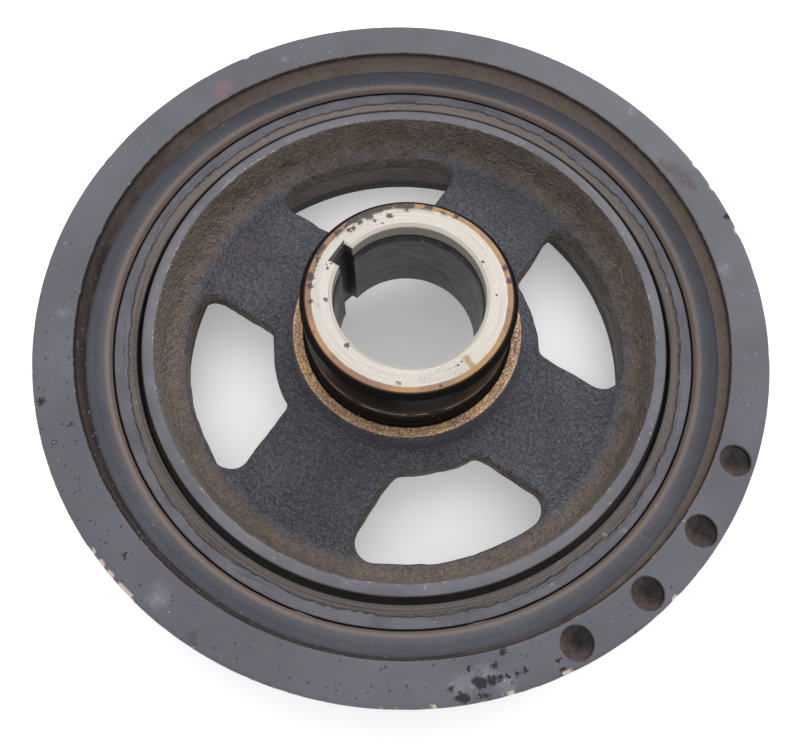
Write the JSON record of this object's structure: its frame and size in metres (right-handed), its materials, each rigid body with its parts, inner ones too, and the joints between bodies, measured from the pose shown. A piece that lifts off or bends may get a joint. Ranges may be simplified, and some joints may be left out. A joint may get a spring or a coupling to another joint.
{
  "type": "crankshaft damper pulley",
  "caption": "Crankshaft vibration damper pulley: a windowed cast hub with a keyed seal journal, a bonded elastomer ring and a poly-V inertia ring.",
  "frame": {"origin": "on the crank axis, in the plane of the hub's front edge, which is the lowest face when the pulley lies front down", "axes": "+Z along the crank axis towards the engine (the seal journal's end); the four windows are centred on +X, +Y, -X and -Y, and the keyway is at 135 degrees from +X towards +Y"},
  "size_m": [0.16, 0.16, 0.0451],
  "materials": {
    "hub_casting": "dark sand-cast skin with rust, ground and machined on the journal, bore and rear face",
    "elastomer": "aged matte rubber, partly under cracked paint",
    "ring_casting": "machined and thinly painted dark blue grey, satin"
  },
  "bodies": {
    "hub": {"hub": "hub_casting", "elastomer_ring": "elastomer"},
    "inertia_ring": {"inertia_ring": "ring_casting"}
  },
  "joints": [
    {"name": "ring_twist", "type": "hinge", "parent": "hub", "child": "inertia_ring", "pos_m": [0, 0, 0.0205], "axis": [0, 0, 1], "range_deg": [-2, 2], "stiffness_Nm_per_rad": 2500}
  ]
}
